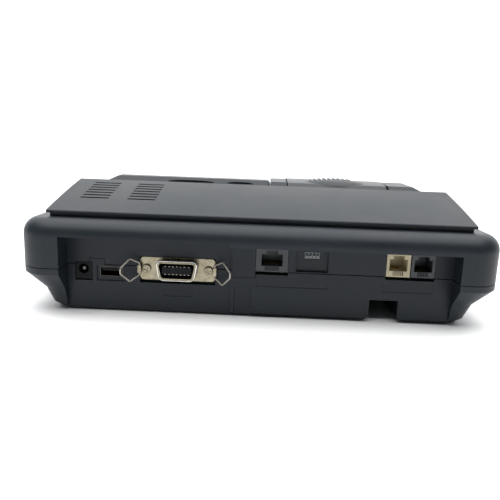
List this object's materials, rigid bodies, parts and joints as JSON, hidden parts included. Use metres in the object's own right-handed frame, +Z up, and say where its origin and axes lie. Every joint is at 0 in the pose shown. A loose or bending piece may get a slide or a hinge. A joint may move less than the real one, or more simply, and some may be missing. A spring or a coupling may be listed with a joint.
{
  "type": "desktop fax and data terminal",
  "caption": "Desk-top line terminal with a thermal roll printer, display and dial keys on top, and phone, network, data and power ports in a rear recess.",
  "frame": {"origin": "under the middle of the case, on the table", "axes": "+X along the width, +Y towards the rear with the ports, +Z up"},
  "size_m": [0.261, 0.228, 0.0741],
  "materials": {
    "case_plastic": "satin, fine moulded grain",
    "cover_plastic": "satin, fine moulded grain",
    "foot_rubber": "matt",
    "screw_steel": "zinc plated",
    "board_laminate": "solder mask",
    "black_plastic": "moulded",
    "bright_metal": "bright plated",
    "flange_metal": "tin plated",
    "contact_gold": "gold plated",
    "grey_jack_plastic": "moulded",
    "cream_jack_plastic": "moulded",
    "switch_plastic": "moulded",
    "slider_plastic": "moulded",
    "clear_window": "clear",
    "display_glass": "liquid crystal grey green",
    "frame_steel": "zinc plated sheet",
    "motor_metal": "drawn can",
    "gear_plastic": "acetal",
    "platen_rubber": "ground rubber",
    "head_ceramic": "glazed ceramic on aluminium",
    "paper": "smooth coated paper",
    "sheet_rubber": "silicone",
    "key_plastic": "satin",
    "stop_plastic": "satin",
    "start_plastic": "satin"
  },
  "bodies": {
    "chassis": {"lower_case": "case_plastic", "upper_case": "case_plastic", "rear_hood": "case_plastic", "rubber_feet": "foot_rubber", "case_screws": "screw_steel", "board_screws": "screw_steel", "power_board": "board_laminate", "line_board": "board_laminate", "main_board": "board_laminate", "power_inlet": "black_plastic", "power_inlet_pin": "bright_metal", "usb_shell": "bright_metal", "usb_tongue": "black_plastic", "ribbon_flange": "flange_metal", "ribbon_insulator": "black_plastic", "ribbon_contacts": "contact_gold", "flange_screws": "screw_steel", "network_jack": "grey_jack_plastic", "line_jack": "cream_jack_plastic", "phone_jack": "grey_jack_plastic", "jack_contacts": "contact_gold", "setting_switch_block": "switch_plastic", "speaker": "black_plastic", "printer_housing": "case_plastic", "display_housing": "case_plastic", "display_window": "clear_window", "display_panel": "display_glass", "printer_frame": "frame_steel", "feed_motor": "motor_metal", "head_springs": "bright_metal", "tear_bar": "bright_metal", "key_sheet": "sheet_rubber"},
    "printer_cover": {"printer_cover": "cover_plastic"},
    "cover_grip": {"cover_grip": "cover_plastic"},
    "platen": {"platen_roller": "platen_rubber", "platen_shaft": "frame_steel", "platen_gear": "gear_plastic"},
    "motor_pinion": {"motor_pinion": "gear_plastic"},
    "paper_roll": {"paper_roll": "paper"},
    "thermal_head": {"thermal_head": "head_ceramic"},
    "left_bail": {"left_bail": "bright_metal"},
    "right_bail": {"right_bail": "bright_metal"},
    "setting_slider_1": {"setting_slider_1": "slider_plastic"},
    "setting_slider_2": {"setting_slider_2": "slider_plastic"},
    "setting_slider_3": {"setting_slider_3": "slider_plastic"},
    "setting_slider_4": {"setting_slider_4": "slider_plastic"},
    "key_1": {"key_1": "key_plastic"},
    "key_2": {"key_2": "key_plastic"},
    "key_3": {"key_3": "key_plastic"},
    "key_4": {"key_4": "key_plastic"},
    "key_5": {"key_5": "key_plastic"},
    "key_6": {"key_6": "key_plastic"},
    "key_7": {"key_7": "key_plastic"},
    "key_8": {"key_8": "key_plastic"},
    "key_9": {"key_9": "key_plastic"},
    "key_star": {"key_star": "key_plastic"},
    "key_0": {"key_0": "key_plastic"},
    "key_hash": {"key_hash": "key_plastic"},
    "stop_key": {"stop_key": "stop_plastic"},
    "start_key": {"start_key": "start_plastic"}
  },
  "joints": [
    {"name": "cover_hinge", "type": "hinge", "parent": "chassis", "child": "printer_cover", "pos_m": [0, 0.0306, 0.0662], "axis": [-1, 0, 0], "range_deg": [0, 70]},
    {"name": "grip_press", "type": "slide", "parent": "printer_cover", "child": "cover_grip", "axis": [0, 0, -1], "range_m": [0, 0.0012], "stiffness_N_per_m": 400},
    {"name": "platen_spin", "type": "hinge", "parent": "printer_cover", "child": "platen", "pos_m": [0, -0.025, 0.0596], "axis": [1, 0, 0], "continuous": true},
    {"name": "pinion_spin", "type": "hinge", "parent": "chassis", "child": "motor_pinion", "pos_m": [0, -0.025, 0.0501], "axis": [1, 0, 0], "continuous": true},
    {"name": "roll_spin", "type": "hinge", "parent": "chassis", "child": "paper_roll", "pos_m": [0, 0.006, 0.04], "axis": [1, 0, 0], "continuous": true},
    {"name": "head_pivot", "type": "hinge", "parent": "chassis", "child": "thermal_head", "pos_m": [0, -0.03165, 0.0536], "axis": [1, 0, 0], "range_deg": [0, 4], "stiffness_Nm_per_rad": 2, "deforming": ["head_springs"]},
    {"name": "left_bail_swing", "type": "hinge", "parent": "chassis", "child": "left_bail", "pos_m": [0.06605, 0.1016, 0.02595], "axis": [0, 0, 1], "range_deg": [-20, 80]},
    {"name": "right_bail_swing", "type": "hinge", "parent": "chassis", "child": "right_bail", "pos_m": [0.02415, 0.1016, 0.02595], "axis": [0, 0, -1], "range_deg": [-20, 80]},
    {"name": "setting_slider_1_slide", "type": "slide", "parent": "chassis", "child": "setting_slider_1", "axis": [0, 0, 1], "range_m": [0, 0.0014]},
    {"name": "setting_slider_2_slide", "type": "slide", "parent": "chassis", "child": "setting_slider_2", "axis": [0, 0, 1], "range_m": [0, 0.0014]},
    {"name": "setting_slider_3_slide", "type": "slide", "parent": "chassis", "child": "setting_slider_3", "axis": [0, 0, 1], "range_m": [0, 0.0014]},
    {"name": "setting_slider_4_slide", "type": "slide", "parent": "chassis", "child": "setting_slider_4", "axis": [0, 0, 1], "range_m": [0, 0.0014]},
    {"name": "key_1_press", "type": "slide", "parent": "chassis", "child": "key_1", "axis": [0, 0.225, -0.9744], "range_m": [0, 0.0018], "stiffness_N_per_m": 300},
    {"name": "key_2_press", "type": "slide", "parent": "chassis", "child": "key_2", "axis": [0, 0.225, -0.9744], "range_m": [0, 0.0018], "stiffness_N_per_m": 300},
    {"name": "key_3_press", "type": "slide", "parent": "chassis", "child": "key_3", "axis": [0, 0.225, -0.9744], "range_m": [0, 0.0018], "stiffness_N_per_m": 300},
    {"name": "key_4_press", "type": "slide", "parent": "chassis", "child": "key_4", "axis": [0, 0.225, -0.9744], "range_m": [0, 0.0018], "stiffness_N_per_m": 300},
    {"name": "key_5_press", "type": "slide", "parent": "chassis", "child": "key_5", "axis": [0, 0.225, -0.9744], "range_m": [0, 0.0018], "stiffness_N_per_m": 300},
    {"name": "key_6_press", "type": "slide", "parent": "chassis", "child": "key_6", "axis": [0, 0.225, -0.9744], "range_m": [0, 0.0018], "stiffness_N_per_m": 300},
    {"name": "key_7_press", "type": "slide", "parent": "chassis", "child": "key_7", "axis": [0, 0.225, -0.9744], "range_m": [0, 0.0018], "stiffness_N_per_m": 300},
    {"name": "key_8_press", "type": "slide", "parent": "chassis", "child": "key_8", "axis": [0, 0.225, -0.9744], "range_m": [0, 0.0018], "stiffness_N_per_m": 300},
    {"name": "key_9_press", "type": "slide", "parent": "chassis", "child": "key_9", "axis": [0, 0.225, -0.9744], "range_m": [0, 0.0018], "stiffness_N_per_m": 300},
    {"name": "key_star_press", "type": "slide", "parent": "chassis", "child": "key_star", "axis": [0, 0.225, -0.9744], "range_m": [0, 0.0018], "stiffness_N_per_m": 300},
    {"name": "key_0_press", "type": "slide", "parent": "chassis", "child": "key_0", "axis": [0, 0.225, -0.9744], "range_m": [0, 0.0018], "stiffness_N_per_m": 300},
    {"name": "key_hash_press", "type": "slide", "parent": "chassis", "child": "key_hash", "axis": [0, 0.225, -0.9744], "range_m": [0, 0.0018], "stiffness_N_per_m": 300},
    {"name": "stop_key_press", "type": "slide", "parent": "chassis", "child": "stop_key", "axis": [0, 0.225, -0.9744], "range_m": [0, 0.0018], "stiffness_N_per_m": 300},
    {"name": "start_key_press", "type": "slide", "parent": "chassis", "child": "start_key", "axis": [0, 0.225, -0.9744], "range_m": [0, 0.0018], "stiffness_N_per_m": 300}
  ],
  "couplings": [
    {"joint": "pinion_spin", "follows": "platen_spin", "ratio": -1.7143}
  ]
}
